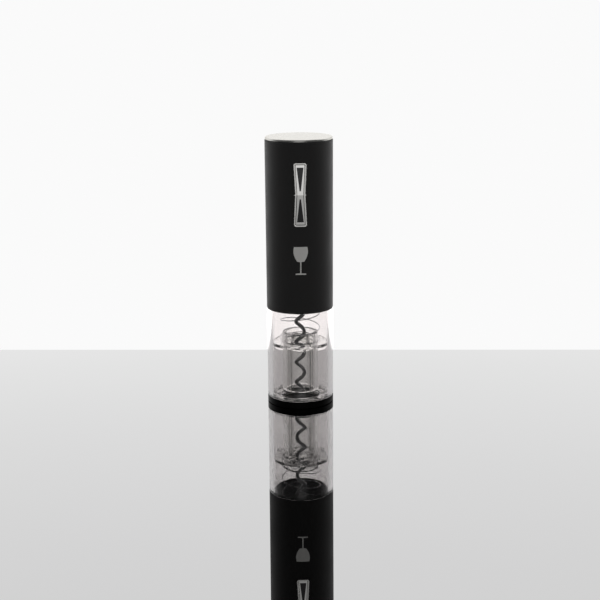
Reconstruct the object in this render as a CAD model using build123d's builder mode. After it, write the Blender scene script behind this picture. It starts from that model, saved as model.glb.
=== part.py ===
from build123d import *
import os
from math import acos, atan2, cos, degrees, pi, radians, sin, tan

# Battery-operated wine opener, standing upright on its foil cutter.
# Millimetres. +Z is up, the origin is the centre of the underside, and the switch faces -Y.
os.makedirs("parts", exist_ok=True)

# ---------------------------------------------------------------- driving dimensions
# Outside of the opener, from the table upwards
body_radius = 24.0          # base, clear sleeve and foot of the body tube
tube_draft = 0.25           # growth of the body tube's radius up to its top edge
base_height = 5.1           # foil cutter, to the sleeve's lower edge
sleeve_height = 65.8        # clear part below the body tube
tube_height = 121.5         # body tube
cap_gap = 0.5               # shadow gap under the end cap
cap_thickness = 1.6         # metal cap plate
tube_wall = 1.8
sleeve_wall = 3.7

# Fits
slide_fit = 0.3             # cork guide in its sleeve, rocker in its bezel
close_fit = 0.2             # parts that push together
spin_fit = 0.1              # shafts in bores
seat_gap = 0.05             # parts pressed or bonded in place

# Foil cutter
pad_proud = 0.4
pad_groove = 0.8
pad_inner = 16.4
pad_outer = 22.0
cutter_hole = 14.2
cutter_rim = 1.0
cover_thickness = 1.2
plug_lip_wall = 1.5
plug_lip_height = 2.1
wheel_radius = 4.6
wheel_reach = 1.8           # how far a wheel stands into the hole
wheel_blade = 0.4
wheel_hub_radius = 1.9
wheel_hub_height = 1.5
wheel_axle_radius = 0.9
wheel_angles = (25.0, 155.0, 205.0, 335.0)

# Clear sleeve
neck_height = 13.1
neck_flange = 2.0
neck_opening = 17.0
key_width = 9.0             # key on the cutter's lip, in a keyway of the sleeve
key_depth = 1.0
stop_lug_height = 1.6
stop_lug_reach = 1.3
stop_lug_width = 5.0
sleeve_screw_circle = 18.3
sleeve_screw_hole = 1.35
screw_radius = 1.2          # thread of the sleeve's and the motor's screws
sleeve_screw_head = 1.7
sleeve_screw_head_height = 1.5

# Cork guide
guide_bottom = 9.3
guide_flange_bottom = 43.6
guide_flange_thickness = 2.2
guide_radius = 13.0
guide_bore = 10.0
guide_collar_height = 6.6
guide_hub_radius = 6.8
guide_hub_bore = 4.85
guide_hub_height = 6.9
guide_rib_depth = 0.7
guide_rib_width = 1.6
guide_spoke_width = 3.2

# Worm
worm_tip = 5.5
worm_pitch = 15.25
worm_mean_radius = 2.93
worm_wire = 1.4
worm_phase_height = 21.625  # the wire crosses +X at this height
worm_taper_turns = 0.38
worm_point = 0.25
chuck_radius = 5.5
chuck_length = 8.4
chuck_top_gap = 0.6
chuck_grip = 4.6            # length of worm inside the chuck

# Guide spring
spring_radius = 14.25
spring_wire = 0.3
spring_pitch = 11.5
spring_phase_height = 55.65  # the wire crosses +X at this height

# Gearbox: two planetary stages alike
plate_thickness = 2.5
gear_module = 0.5
sun_teeth = 12
planet_teeth = 15
planet_count = 3
pressure_angle = 25.0
addendum = 0.4
dedendum = 0.56
backlash = 0.17
gear_width = 5.8
carrier_gap = 0.3
carrier_plate = 2.5
first_carrier_plate = 2.0
planet_pin_radius = 1.2
spindle_radius = 3.5
ring_wall = 1.1
gearbox_wall = 1.7
motor_plate_thickness = 1.5

# Motor
motor_radius = 12.2
motor_length = 26.5
motor_can_wall = 1.0
motor_shaft_radius = 1.15
endbell_height = 3.8
armature_radius = 8.7
motor_screw_circle = 8.0
motor_screw_head = 2.1
motor_screw_sink = 1.1      # depth of the head's seat in the motor plate
commutator_radius = 3.0
magnet_gap = 4.5            # half of the gap between the two magnets

# Cells and chassis
chassis_wall = 1.9
cell_radius = 7.1
cell_length = 50.5
cell_nub_radius = 2.7
cell_nub_height = 1.2
cell_spacing = 14.6
cell_contact_height = 1.2
cap_contact_thickness = 0.8
plug_roof = 1.4
plug_skirt = 2.7
chassis_screw_inset = 2.9   # from the chassis wall in to the line of its screws
chassis_boss_radius = 2.4
chassis_boss_length = 9.5   # to each side of the joint between the halves
chassis_screw_radius = 1.0
chassis_screw_head = 1.8
chassis_screw_head_height = 1.3
chassis_rail = (3.5, 6.0)   # rails that carry the switch board, from and to along X
lead_hole = 0.9
battery_lead = 0.4          # radii of the insulated wires
motor_lead = 0.5

# Rocker switch
switch_drop = 36.2          # rocker pivot below the top edge of the tube
bezel_half_length = 22.4
bezel_half_end = 4.65
bezel_half_waist = 3.6
bezel_rim = 1.2
bezel_proud = 0.7
rocker_ridge = 0.3          # rocker ridge in front of the tube
rocker_end_sink = 0.5       # rocker ends behind the tube's surface
rocker_tilt = 3.0
pivot_depth = 1.5
pivot_radius = 0.5
plunger_offset = 12.0
plunger_radius = 1.5
inlay_start = 2.8           # inlay's near end above and below the pivot
inlay_end_gap = 1.7         # inlay's far end before the rocker's end
inlay_half_start = 0.5
inlay_half_end = 2.4
inlay_depth = 0.3
inlay_margin = 0.4
board_thickness = 1.2

# ---------------------------------------------------------------- levels and radii that follow
base_top = base_height
sleeve_top = base_top + sleeve_height
tube_top = sleeve_top + tube_height
cap_bottom = tube_top + cap_gap
cap_top = cap_bottom + cap_thickness
tube_top_radius = body_radius + tube_draft
tube_bore = body_radius - tube_wall
sleeve_bore = body_radius - sleeve_wall
neck_radius = tube_bore - close_fit
plate_radius = tube_bore - 2 * close_fit
plate_bottom = sleeve_top + neck_height
plate_top = plate_bottom + plate_thickness

sun_radius = gear_module * sun_teeth / 2
planet_radius = gear_module * planet_teeth / 2
ring_teeth = sun_teeth + 2 * planet_teeth
ring_radius = gear_module * ring_teeth / 2
planet_circle = sun_radius + planet_radius
ring_outer = ring_radius + dedendum + ring_wall
gearbox_radius = ring_outer + seat_gap + gearbox_wall
carrier_radius = ring_radius - addendum - 0.5
carrier_bottom = plate_top + 0.9
second_planets = carrier_bottom + carrier_plate + carrier_gap
second_top = second_planets + gear_width
first_carrier_bottom = second_top + carrier_gap
first_planets = first_carrier_bottom + first_carrier_plate + carrier_gap
first_top = first_planets + gear_width
motor_plate_bottom = first_top + 0.5
motor_bottom = motor_plate_bottom + motor_plate_thickness
motor_top = motor_bottom + motor_length
endbell_top = motor_top + endbell_height

chassis_radius = tube_bore - 2 * close_fit
chassis_inner = chassis_radius - chassis_wall
plug_underside = cap_bottom - plug_roof
cell_top = plug_underside - cap_contact_thickness
cell_bottom = cell_top - cell_length
battery_floor_top = cell_bottom - cell_contact_height
battery_floor = 1.4
battery_floor_bottom = battery_floor_top - battery_floor
plug_bottom = plug_underside - plug_skirt
chassis_top = plug_bottom - 0.4

switch_height = tube_top - switch_drop
front = body_radius + tube_draft * (switch_height - sleeve_top) / tube_height
bezel_front = front + bezel_proud
pivot_y = -(front - pivot_depth)
board_front = chassis_inner - 3.0
tact_height = 2.4
plunger_front = -pivot_y - 1.3 - plunger_offset * tan(radians(rocker_tilt)) - 0.1


# ---------------------------------------------------------------- helpers
def ring(low, high, outer, inner=0.0, at=(0, 0), mode=Mode.ADD):
    """A disc between two heights, or a ring where it has an inner radius."""
    with BuildSketch(Plane.XY.offset(low)) as section:
        with Locations(at):
            Circle(outer)
            if inner > 0:
                Circle(inner, mode=Mode.SUBTRACT)
    extrude(section.sketch, amount=high - low, mode=mode)


def turned(points, mode=Mode.ADD):
    """A solid of revolution about Z from a closed outline of (radius, height) points."""
    with BuildSketch(Plane.XZ) as section:
        with BuildLine():
            Polyline(*points, close=True)
        make_face()
    revolve(section.sketch, axis=Axis.Z, mode=mode)


def block(x, y, z, mode=Mode.ADD):
    """A box between two limits along each axis."""
    with Locations(((x[0] + x[1]) / 2, (y[0] + y[1]) / 2, (z[0] + z[1]) / 2)):
        Box(x[1] - x[0], y[1] - y[0], z[1] - z[0], mode=mode)


def rod(start, end, radius, y, z, mode=Mode.ADD):
    """A round bar along X."""
    with BuildSketch(Plane.YZ.offset(start)) as section:
        with Locations((y, z)):
            Circle(radius)
    extrude(section.sketch, amount=end - start, mode=mode)


def stub(back, face, radius, x, z, mode=Mode.ADD):
    """A round bar along Y, from its back to its face, both measured towards the front."""
    with BuildSketch(Plane.XZ.offset(back)) as section:
        with Locations((x, z)):
            Circle(radius)
    extrude(section.sketch, amount=face - back, mode=mode)


def spokes(inner, outer, width, low, high, count, start=0.0, mode=Mode.ADD):
    """Radial bars, evenly spaced."""
    with Locations((0, 0, (low + high) / 2)):
        with PolarLocations((inner + outer) / 2, count, start_angle=start):
            Box(outer - inner, width, high - low, mode=mode)


def around(radius, count, start=0.0):
    """Points evenly spaced on a circle."""
    turn = 2 * pi / count
    angles = [radians(start) + turn * step for step in range(count)]
    return [(radius * cos(angle), radius * sin(angle)) for angle in angles]


def gear_outline(teeth, tip, root, slack):
    """Outline of a gear with involute flanks and one tooth on +X, thinned by the slack."""
    pitch_radius = gear_module * teeth / 2
    base_radius = pitch_radius * cos(radians(pressure_angle))

    def roll(radius):
        angle = acos(min(1.0, base_radius / radius))
        return tan(angle) - angle

    half_tooth = (pi * gear_module / 2 - slack) / (2 * pitch_radius) + roll(pitch_radius)
    foot = max(root, base_radius)
    flank = [root] if root < base_radius else []
    flank += [foot + (tip - foot) * step / 3 for step in range(4)]
    points = []
    for tooth in range(teeth):
        centre = 2 * pi * tooth / teeth
        rising = [(radius, centre - half_tooth + roll(radius)) for radius in flank]
        falling = [(radius, centre + half_tooth - roll(radius)) for radius in reversed(flank)]
        points += [(radius * cos(a), radius * sin(a)) for radius, a in rising + falling]
    return points


def toothed(teeth, low, high, grow=0.0, turn=0.0, at=(0, 0), mode=Mode.ADD):
    """A gear between two heights; a grown one cuts the tooth spaces of a ring gear."""
    pitch_radius = gear_module * teeth / 2
    if grow:
        outline = gear_outline(teeth, pitch_radius + dedendum, pitch_radius - addendum, -backlash)
    else:
        outline = gear_outline(teeth, pitch_radius + addendum, pitch_radius - dedendum, backlash)
    with BuildSketch(Plane.XY.offset(low)) as section:
        with Locations(Location((at[0], at[1], 0), (0, 0, turn))):
            Polygon(*outline, align=None)
    extrude(section.sketch, amount=high - low, mode=mode)


def bow_tie(back, face, inset=0.0, mode=Mode.ADD):
    """The switch's waisted outline, drawn in by the inset and standing between two depths."""
    half_length = bezel_half_length - inset
    half_end = bezel_half_end - inset
    half_waist = bezel_half_waist - inset
    with BuildSketch(Plane.XZ.offset(back)) as section:
        with BuildLine():
            Polyline(
                (half_end, switch_height + half_length),
                (half_waist, switch_height),
                (half_end, switch_height - half_length),
                (-half_end, switch_height - half_length),
                (-half_waist, switch_height),
                (-half_end, switch_height + half_length),
                close=True,
            )
        make_face()
        ends = section.vertices().filter_by(lambda v: abs(v.Z - switch_height) > 1)
        fillet(ends, radius=max(0.4, 1.6 - inset))
    extrude(section.sketch, amount=face - back, mode=mode)


def helix(low, height, pitch, radius, phase_height):
    """A right-hand helix about Z that crosses +X at the phase height."""
    turn = 360.0 * (low - phase_height) / pitch
    coil = Helix(pitch, height, radius, center=(0, 0, low), mode=Mode.PRIVATE)
    return coil.rotate(Axis.Z, turn)


def save(builder, name):
    """Label a finished piece and write its STEP file."""
    builder.part.label = name
    export_step(builder.part, "parts/" + name + ".step")


# ---------------------------------------------------------------- foil cutter
cover_seat = base_top - cover_thickness
wheel_circle = cutter_hole - wheel_reach + wheel_radius
wheel_pocket = wheel_radius + 0.4
pocket_floor = cover_seat - wheel_hub_height - 2 * spin_fit
wheel_places = [(wheel_circle * cos(radians(a)), wheel_circle * sin(radians(a)))
                for a in wheel_angles]
cover_radius = body_radius - cutter_rim - spin_fit
blade_bottom = pocket_floor + spin_fit + (wheel_hub_height - wheel_blade) / 2

# Ring that the opener stands on, with a pocket for each wheel
with BuildPart() as cutter_body:
    ring(pad_proud, base_top, body_radius, cutter_hole)
    ring(cover_seat, base_top, body_radius - cutter_rim, mode=Mode.SUBTRACT)
    ring(pad_proud, pad_proud + pad_groove, pad_outer, pad_inner, mode=Mode.SUBTRACT)
    for place in wheel_places:
        ring(pocket_floor, cover_seat, wheel_pocket, at=place, mode=Mode.SUBTRACT)
        ring(pocket_floor - 0.5, cover_seat, wheel_axle_radius, at=place, mode=Mode.SUBTRACT)
    outside = cutter_body.edges().filter_by(GeomType.CIRCLE)
    fillet(outside.filter_by(lambda e: abs(e.radius - body_radius) < 0.01), radius=0.4)
save(cutter_body, "cutter_body")

# Clear cover that closes the wheel pockets; its lip plugs into the sleeve, keyed at the front
with BuildPart() as cutter_cover:
    ring(cover_seat, base_top, cover_radius, cutter_hole)
    lip_outer = sleeve_bore - close_fit
    ring(base_top, base_top + plug_lip_height, lip_outer, lip_outer - plug_lip_wall)
    key_half = key_width / 2
    block((-key_half, key_half), (-lip_outer - key_depth, -lip_outer + plug_lip_wall),
          (base_top, base_top + plug_lip_height))
    for place in wheel_places:
        ring(cover_seat, base_top - 0.4, wheel_axle_radius, at=place, mode=Mode.SUBTRACT)
save(cutter_cover, "cutter_cover")

# Steel pins that carry the wheels
with BuildPart() as cutter_axles:
    for place in wheel_places:
        ring(pocket_floor - 0.5, base_top - 0.4, wheel_axle_radius, at=place)
save(cutter_axles, "cutter_axles")

# Rubber foot ring
with BuildPart() as base_pad:
    ring(0, pad_proud + pad_groove, pad_outer - seat_gap, pad_inner + seat_gap)
save(base_pad, "base_pad")


def cutter_wheel(place, name):
    """A hardened wheel: a thin sharp blade on a short hub."""
    with BuildPart() as wheel:
        ring(pocket_floor + spin_fit, cover_seat - spin_fit, wheel_hub_radius, at=place)
        ring(blade_bottom, blade_bottom + wheel_blade, wheel_radius, at=place)
        bore = wheel_axle_radius + spin_fit
        ring(pocket_floor, cover_seat, bore, at=place, mode=Mode.SUBTRACT)
        rim = wheel.edges().filter_by(GeomType.CIRCLE)
        chamfer(rim.filter_by(lambda e: abs(e.radius - wheel_radius) < 0.01), length=0.15)
    save(wheel, name)


for index, place in enumerate(wheel_places):
    cutter_wheel(place, "cutter_wheel_" + str(index + 1))

# ---------------------------------------------------------------- clear sleeve and body tube
screw_places = around(sleeve_screw_circle, 3, 90.0)
lug_bottom = guide_flange_bottom - 0.1 - stop_lug_height

# Clear barrel: flush with the tube, with a neck that goes up inside it
with BuildPart() as clear_sleeve:
    turned([
        (sleeve_bore, base_top),
        (body_radius, base_top),
        (body_radius, sleeve_top),
        (neck_radius, sleeve_top),
        (neck_radius, plate_bottom),
        (neck_opening, plate_bottom),
        (neck_opening, plate_bottom - neck_flange),
        (sleeve_bore, plate_bottom - neck_flange),
    ])
    lug_inner = sleeve_bore - stop_lug_reach
    spokes(lug_inner, sleeve_bore + 0.5, stop_lug_width, lug_bottom,
           lug_bottom + stop_lug_height, 3, 30.0)
    keyway_half = key_width / 2 + close_fit
    block((-keyway_half, keyway_half), (-sleeve_bore - key_depth, -sleeve_bore + 1),
          (base_top, base_top + plug_lip_height + close_fit), mode=Mode.SUBTRACT)
    for place in screw_places:
        ring(plate_bottom - neck_flange, plate_bottom, sleeve_screw_hole, at=place,
             mode=Mode.SUBTRACT)
save(clear_sleeve, "clear_sleeve")

# Soft-touch body tube with the switch opening
with BuildPart() as outer_tube:
    turned([
        (tube_bore, sleeve_top),
        (body_radius, sleeve_top),
        (tube_top_radius, tube_top),
        (tube_bore, tube_top),
    ])
    bow_tie(tube_bore - 3, bezel_front, -close_fit, mode=Mode.SUBTRACT)
    for side in (-1, 1):
        stub(tube_bore - 3, bezel_front, 0.6 + close_fit, side * bezel_half_waist,
             switch_height, mode=Mode.SUBTRACT)
    rims = outer_tube.edges().filter_by(GeomType.CIRCLE)
    fillet(rims.filter_by(lambda e: e.radius > body_radius - 0.01 and e.length > body_radius),
           radius=0.3)
save(outer_tube, "outer_tube")

# Screws that hold the sleeve under the gearbox plate
with BuildPart() as sleeve_screws:
    for place in screw_places:
        head_top = plate_bottom - neck_flange
        ring(head_top - sleeve_screw_head_height, head_top, sleeve_screw_head, at=place)
        ring(head_top, plate_top - 0.5, screw_radius, at=place)
save(sleeve_screws, "sleeve_screws")

# Washer that the guide spring pushes against
seat_bottom = plate_bottom - 0.8
with BuildPart() as spring_seat:
    ring(seat_bottom, plate_bottom, spring_radius + 1.6, spring_radius - 1.4)
    ring(seat_bottom - 1.0, seat_bottom, spring_radius - 0.6, spring_radius - 1.4)
save(spring_seat, "spring_seat")

# ---------------------------------------------------------------- cork guide and its spring
guide_flange_top = guide_flange_bottom + guide_flange_thickness

with BuildPart() as cork_guide:
    ring(guide_bottom, guide_flange_bottom, guide_radius, guide_bore)
    ring(guide_flange_bottom, guide_flange_top, sleeve_bore - slide_fit, guide_bore)
    ring(guide_flange_top, guide_flange_top + guide_collar_height, guide_radius - 0.1, guide_bore)
    spokes(guide_bore - guide_rib_depth, guide_bore + 0.5, guide_rib_width, guide_bottom,
           guide_flange_bottom, 4, 45.0)
    ring(guide_flange_bottom, guide_flange_bottom + guide_hub_height, guide_hub_radius)
    spokes(guide_hub_radius - 1.0, guide_bore + 0.5, guide_spoke_width, guide_flange_bottom,
           guide_flange_top, 4)
    ring(guide_flange_bottom - 1, plate_bottom, guide_hub_bore, mode=Mode.SUBTRACT)
save(cork_guide, "cork_guide")

# Light right-hand compression spring from the guide's flange up to the washer
spring_bottom = guide_flange_top + spring_wire + seat_gap
spring_height = seat_bottom - spring_wire - seat_gap - spring_bottom
with BuildPart() as guide_spring:
    with BuildLine() as spring_path:
        add(helix(spring_bottom, spring_height, spring_pitch, spring_radius,
                  spring_phase_height))
    with BuildSketch(Plane(origin=spring_path.line @ 0, z_dir=spring_path.line % 0)):
        Circle(spring_wire)
    sweep(is_frenet=True)
save(guide_spring, "guide_spring")

# ---------------------------------------------------------------- worm and spindle
chuck_top = plate_bottom - chuck_top_gap
chuck_bottom = chuck_top - chuck_length
worm_top = chuck_bottom + chuck_grip
taper_top = worm_tip + worm_taper_turns * worm_pitch


# Right-hand worm, tapered to a point over its last third of a turn
with BuildPart() as worm:
    with BuildLine() as worm_path:
        add(helix(taper_top, worm_top - taper_top, worm_pitch, worm_mean_radius,
                  worm_phase_height))
    with BuildSketch(Plane(origin=worm_path.line @ 0, z_dir=worm_path.line % 0)):
        Circle(worm_wire)
    sweep(is_frenet=True)
    with BuildLine() as taper_path:
        add(helix(worm_tip, taper_top - worm_tip, worm_pitch, worm_mean_radius,
                  worm_phase_height))
    with BuildSketch(Plane(origin=taper_path.line @ 0, z_dir=taper_path.line % 0)):
        Circle(worm_point)
    with BuildSketch(Plane(origin=taper_path.line @ 1, z_dir=taper_path.line % 1)):
        Circle(worm_wire)
    sweep(multisection=True)
save(worm, "worm")

# Chuck moulded round the worm's top and pinned to the spindle
with BuildPart() as worm_chuck:
    ring(chuck_bottom, chuck_top, chuck_radius)
    ring(worm_top + 0.2, chuck_top, spindle_radius, mode=Mode.SUBTRACT)
    lower = worm_chuck.edges().filter_by(GeomType.CIRCLE).sort_by(Axis.Z)[0]
    fillet(lower, radius=0.8)
save(worm_chuck, "worm_chuck")

with BuildPart() as thrust_washer:
    ring(chuck_top, plate_bottom - spin_fit, 6.0, spindle_radius + seat_gap)
save(thrust_washer, "thrust_washer")

# Output carrier of the gearbox, in one piece with the spindle
planet_places = around(planet_circle, planet_count, 90.0)
with BuildPart() as output_carrier:
    ring(worm_top + 0.2, carrier_bottom, spindle_radius)
    ring(carrier_bottom, carrier_bottom + carrier_plate, carrier_radius)
    for place in planet_places:
        ring(carrier_bottom + carrier_plate, second_top, planet_pin_radius, at=place)
save(output_carrier, "output_carrier")

# ---------------------------------------------------------------- gearbox
bush_radius = spindle_radius + 2.0
with BuildPart() as gearbox_housing:
    ring(plate_bottom, plate_top, plate_radius, bush_radius)
    ring(plate_top, motor_plate_bottom, gearbox_radius, ring_outer + seat_gap)
    for place in screw_places:
        ring(plate_bottom, plate_top, screw_radius, at=place, mode=Mode.SUBTRACT)
save(gearbox_housing, "gearbox_housing")

with BuildPart() as spindle_bush:
    ring(plate_bottom + spin_fit, plate_top, bush_radius, spindle_radius + spin_fit)
    ring(plate_top, carrier_bottom - spin_fit, bush_radius + 1.5, spindle_radius + spin_fit)
save(spindle_bush, "spindle_bush")

with BuildPart() as ring_gear:
    ring(plate_top + 0.2, motor_plate_bottom, ring_outer)
    toothed(ring_teeth, plate_top, motor_plate_bottom + 1, grow=1, turn=90.0, mode=Mode.SUBTRACT)
save(ring_gear, "ring_gear")


def planet(place, low, name):
    """A planet gear, turned so that a tooth points outwards to the ring gear."""
    outward = degrees(atan2(place[1], place[0]))
    with BuildPart() as gear:
        toothed(planet_teeth, low, low + gear_width, turn=outward, at=place)
        ring(low, low + gear_width, planet_pin_radius + spin_fit, at=place, mode=Mode.SUBTRACT)
    save(gear, name)


for place, letter in zip(planet_places, "abc"):
    planet(place, second_planets, "planet_2" + letter)
    planet(place, first_planets, "planet_1" + letter)

# First carrier with the second stage's sun on its underside
with BuildPart() as first_carrier:
    toothed(sun_teeth, second_planets, first_carrier_bottom, turn=90.0)
    ring(first_carrier_bottom, first_carrier_bottom + first_carrier_plate, carrier_radius)
    for place in planet_places:
        low = first_carrier_bottom + first_carrier_plate
        ring(low, first_top, planet_pin_radius, at=place)
save(first_carrier, "first_carrier")

with BuildPart() as motor_pinion:
    toothed(sun_teeth, first_planets, first_top, turn=90.0)
    ring(first_planets, first_top, motor_shaft_radius, mode=Mode.SUBTRACT)
save(motor_pinion, "motor_pinion")

# ---------------------------------------------------------------- motor
motor_screw_places = [(-motor_screw_circle, 0), (motor_screw_circle, 0)]
head_seat_top = motor_plate_bottom + motor_screw_sink
with BuildPart() as motor_plate:
    ring(motor_plate_bottom, motor_bottom, gearbox_radius, 2.0)
    for place in motor_screw_places:
        ring(motor_plate_bottom, head_seat_top, motor_screw_head + spin_fit, at=place,
             mode=Mode.SUBTRACT)
        ring(motor_plate_bottom, motor_bottom, screw_radius, at=place, mode=Mode.SUBTRACT)
save(motor_plate, "motor_plate")

with BuildPart() as motor_screws:
    for place in motor_screw_places:
        ring(motor_plate_bottom + spin_fit, head_seat_top, motor_screw_head, at=place)
        ring(head_seat_top, motor_bottom + 2.0, screw_radius, at=place)
save(motor_screws, "motor_screws")

can_floor = motor_bottom + 1.2
can_inner = motor_radius - motor_can_wall
with BuildPart() as motor_can:
    ring(motor_bottom, motor_top, motor_radius, 1.8)
    ring(can_floor, motor_top, can_inner, mode=Mode.SUBTRACT)
    for place in motor_screw_places:
        ring(motor_bottom, can_floor, screw_radius, at=place, mode=Mode.SUBTRACT)
save(motor_can, "motor_can")

magnet_low = can_floor + 1.3
magnet_high = motor_top - 2.0
with BuildPart() as motor_magnets:
    ring(magnet_low, magnet_high, can_inner - seat_gap, armature_radius + 0.5)
    block((-magnet_gap, magnet_gap), (-motor_radius, motor_radius), (magnet_low, magnet_high),
          mode=Mode.SUBTRACT)
save(motor_magnets, "motor_magnets")

stack_low = can_floor + 3.3
stack_high = stack_low + 16.0
with BuildPart() as motor_armature:
    ring(stack_low, stack_high, armature_radius, armature_radius - 1.5)
    spokes(armature_radius - 2.0, armature_radius + 1.0, 2.0, stack_low, stack_high, 3, 60.0,
           mode=Mode.SUBTRACT)
    spokes(0, armature_radius - 1.2, 3.0, stack_low, stack_high, 3)
    ring(stack_low, stack_high, commutator_radius)
    ring(stack_low, stack_high, motor_shaft_radius, mode=Mode.SUBTRACT)
save(motor_armature, "motor_armature")

with BuildPart() as motor_windings:
    spokes(3.2, armature_radius - 2.4, 6.4, stack_low - 1, stack_high + 1, 3)
    spokes(2.0, armature_radius, 3.1, stack_low, stack_high, 3, mode=Mode.SUBTRACT)
save(motor_windings, "motor_windings")

commutator_low = stack_high + 1.6
with BuildPart() as motor_commutator:
    ring(commutator_low, motor_top - 0.6, commutator_radius, motor_shaft_radius)
save(motor_commutator, "motor_commutator")

with BuildPart() as motor_brushes:
    for side in (-1, 1):
        reach = sorted((side * (commutator_radius + spin_fit), side * 5.0))
        arm = sorted((side * 4.3, side * 5.0))
        block(reach, (-1, 1), (commutator_low + 0.6, commutator_low + 2.2))
        block(arm, (-1, 1), (commutator_low + 0.6, motor_top))
save(motor_brushes, "motor_brushes")

with BuildPart() as motor_shaft:
    ring(first_planets + 0.2, endbell_top - 0.8, motor_shaft_radius)
save(motor_shaft, "motor_shaft")

# Plastic end of the motor, with the terminal block at its front
terminal_face = motor_radius + 0.2
terminal_height = motor_top + 2.2
with BuildPart() as motor_endbell:
    ring(motor_top, endbell_top, motor_radius - 0.1)
    block((-4.0, 4.0), (-terminal_face, -terminal_face + 3), (motor_top + 1, endbell_top - 0.5))
    ring(motor_top, endbell_top - 0.7, motor_shaft_radius + spin_fit, mode=Mode.SUBTRACT)
save(motor_endbell, "motor_endbell")

# ---------------------------------------------------------------- chassis
lead_x = 2.5
lead_y = -(board_front - board_thickness - 0.8)
screw_line = chassis_inner - chassis_screw_inset
screw_lines = [
    (-screw_line, plate_top + 10.5),
    (screw_line, plate_top + 10.5),
    (-screw_line, motor_bottom + 12.5),
    (screw_line, motor_bottom + 12.5),
    (screw_line, cell_bottom + 25.0),
]
head_seat = 6.0


def chassis_half(keep, name):
    """One half of the frame that clamps the gearbox, motor, cells and switch board."""
    with BuildPart() as half:
        ring(plate_top, chassis_top, chassis_radius, chassis_inner)
        ring(plate_top, plate_top + 2, chassis_radius, gearbox_radius + spin_fit)
        ring(motor_bottom, motor_bottom + 2, chassis_radius, motor_radius + close_fit)
        ring(motor_top - 4, motor_top - 2, chassis_radius, motor_radius + close_fit)
        ring(battery_floor_bottom, battery_floor_top, chassis_radius)
        rail_depth = (-chassis_radius + 0.6, -board_front)
        for side in (-1, 1):
            block(sorted(side * x for x in chassis_rail), rail_depth,
                  (battery_floor_top, switch_height + bezel_half_length - 2))
        for y, z in screw_lines:
            rod(-chassis_boss_length, chassis_boss_length, chassis_boss_radius, y, z)
            rod(-chassis_radius, -head_seat, chassis_screw_head + spin_fit, y, z,
                mode=Mode.SUBTRACT)
            rod(-head_seat, head_seat, chassis_screw_radius, y, z, mode=Mode.SUBTRACT)
        ring(plate_top, motor_bottom, gearbox_radius + spin_fit, mode=Mode.SUBTRACT)
        ring(motor_bottom, motor_top, motor_radius + close_fit, mode=Mode.SUBTRACT)
        for side in (-1, 1):
            ring(battery_floor_bottom, battery_floor_top, lead_hole, at=(side * lead_x, lead_y),
                 mode=Mode.SUBTRACT)
        bow_tie(board_front, chassis_radius + 1, bezel_rim, mode=Mode.SUBTRACT)
        split(bisect_by=Plane.YZ, keep=keep)
    save(half, name)


chassis_half(Keep.BOTTOM, "chassis_left")
chassis_half(Keep.TOP, "chassis_right")

with BuildPart() as chassis_screws:
    for y, z in screw_lines:
        rod(-head_seat - chassis_screw_head_height, -head_seat, chassis_screw_head, y, z)
        rod(-head_seat, head_seat - 0.4, chassis_screw_radius, y, z)
save(chassis_screws, "chassis_screws")

# ---------------------------------------------------------------- cells and wiring
half_spacing = cell_spacing / 2
cell_places = [(-1, -1), (1, -1), (1, 1), (-1, 1)]
with BuildPart() as battery_cells:
    for index, (side_x, side_y) in enumerate(cell_places):
        place = (side_x * half_spacing, side_y * half_spacing)
        nub_up = index % 2 == 0
        low = cell_bottom if nub_up else cell_bottom + cell_nub_height
        ring(low, low + cell_length - cell_nub_height, cell_radius, at=place)
        nub_low = cell_top - cell_nub_height if nub_up else cell_bottom
        ring(nub_low, nub_low + cell_nub_height, cell_nub_radius, at=place)
save(battery_cells, "battery_cells")

contact_plate_top = battery_floor_top + 0.4
tab_x = 0.9
tab_y = lead_y + 0.4
with BuildPart() as cell_contacts:
    for side_x, side_y in cell_places:
        place = (side_x * half_spacing, side_y * half_spacing)
        ring(battery_floor_top, contact_plate_top, 4.6, at=place)
        ring(contact_plate_top, cell_bottom, 2.2, at=place)
    for side in (-1, 1):
        with BuildSketch(Plane.XY.offset(battery_floor_top)):
            Polygon((side * (half_spacing - 2.9), -half_spacing - 2.6),
                    (side * (half_spacing - 1.3), -half_spacing - 3.8),
                    (side * (tab_x + 0.5), tab_y - 0.4),
                    (side * (tab_x - 0.45), tab_y + 0.3), align=None)
        extrude(amount=contact_plate_top - battery_floor_top)
    block((-half_spacing, half_spacing), (half_spacing - 1.5, half_spacing + 1.5),
          (battery_floor_top, contact_plate_top))
save(cell_contacts, "cell_contacts")


def wire(points, bends, radius):
    """A short insulated wire along straight runs joined by arcs."""
    with BuildLine() as route:
        FilletPolyline(*points, radius=bends)
    start = Plane(origin=route.line @ 0, z_dir=route.line % 0)
    with BuildSketch(start) as section:
        Circle(radius)
    sweep(section.sketch, path=route.line)


board_back = -(board_front - board_thickness)
board_low = battery_floor_top + 0.6
with BuildPart() as battery_leads:
    for side in (-1, 1):
        wire([(side * tab_x, tab_y, contact_plate_top),
              (side * tab_x, tab_y, board_low + 2.4),
              (side * tab_x, board_back, board_low + 2.4)], [0.8], battery_lead)
save(battery_leads, "battery_leads")

with BuildPart() as motor_leads:
    for side in (-1, 1):
        wire([(side * lead_x, -terminal_face, terminal_height),
              (side * lead_x, lead_y, terminal_height),
              (side * lead_x, lead_y, board_low + 4.5),
              (side * lead_x, board_back, board_low + 4.5)], [1.2, 0.7], motor_lead)
save(motor_leads, "motor_leads")

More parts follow.
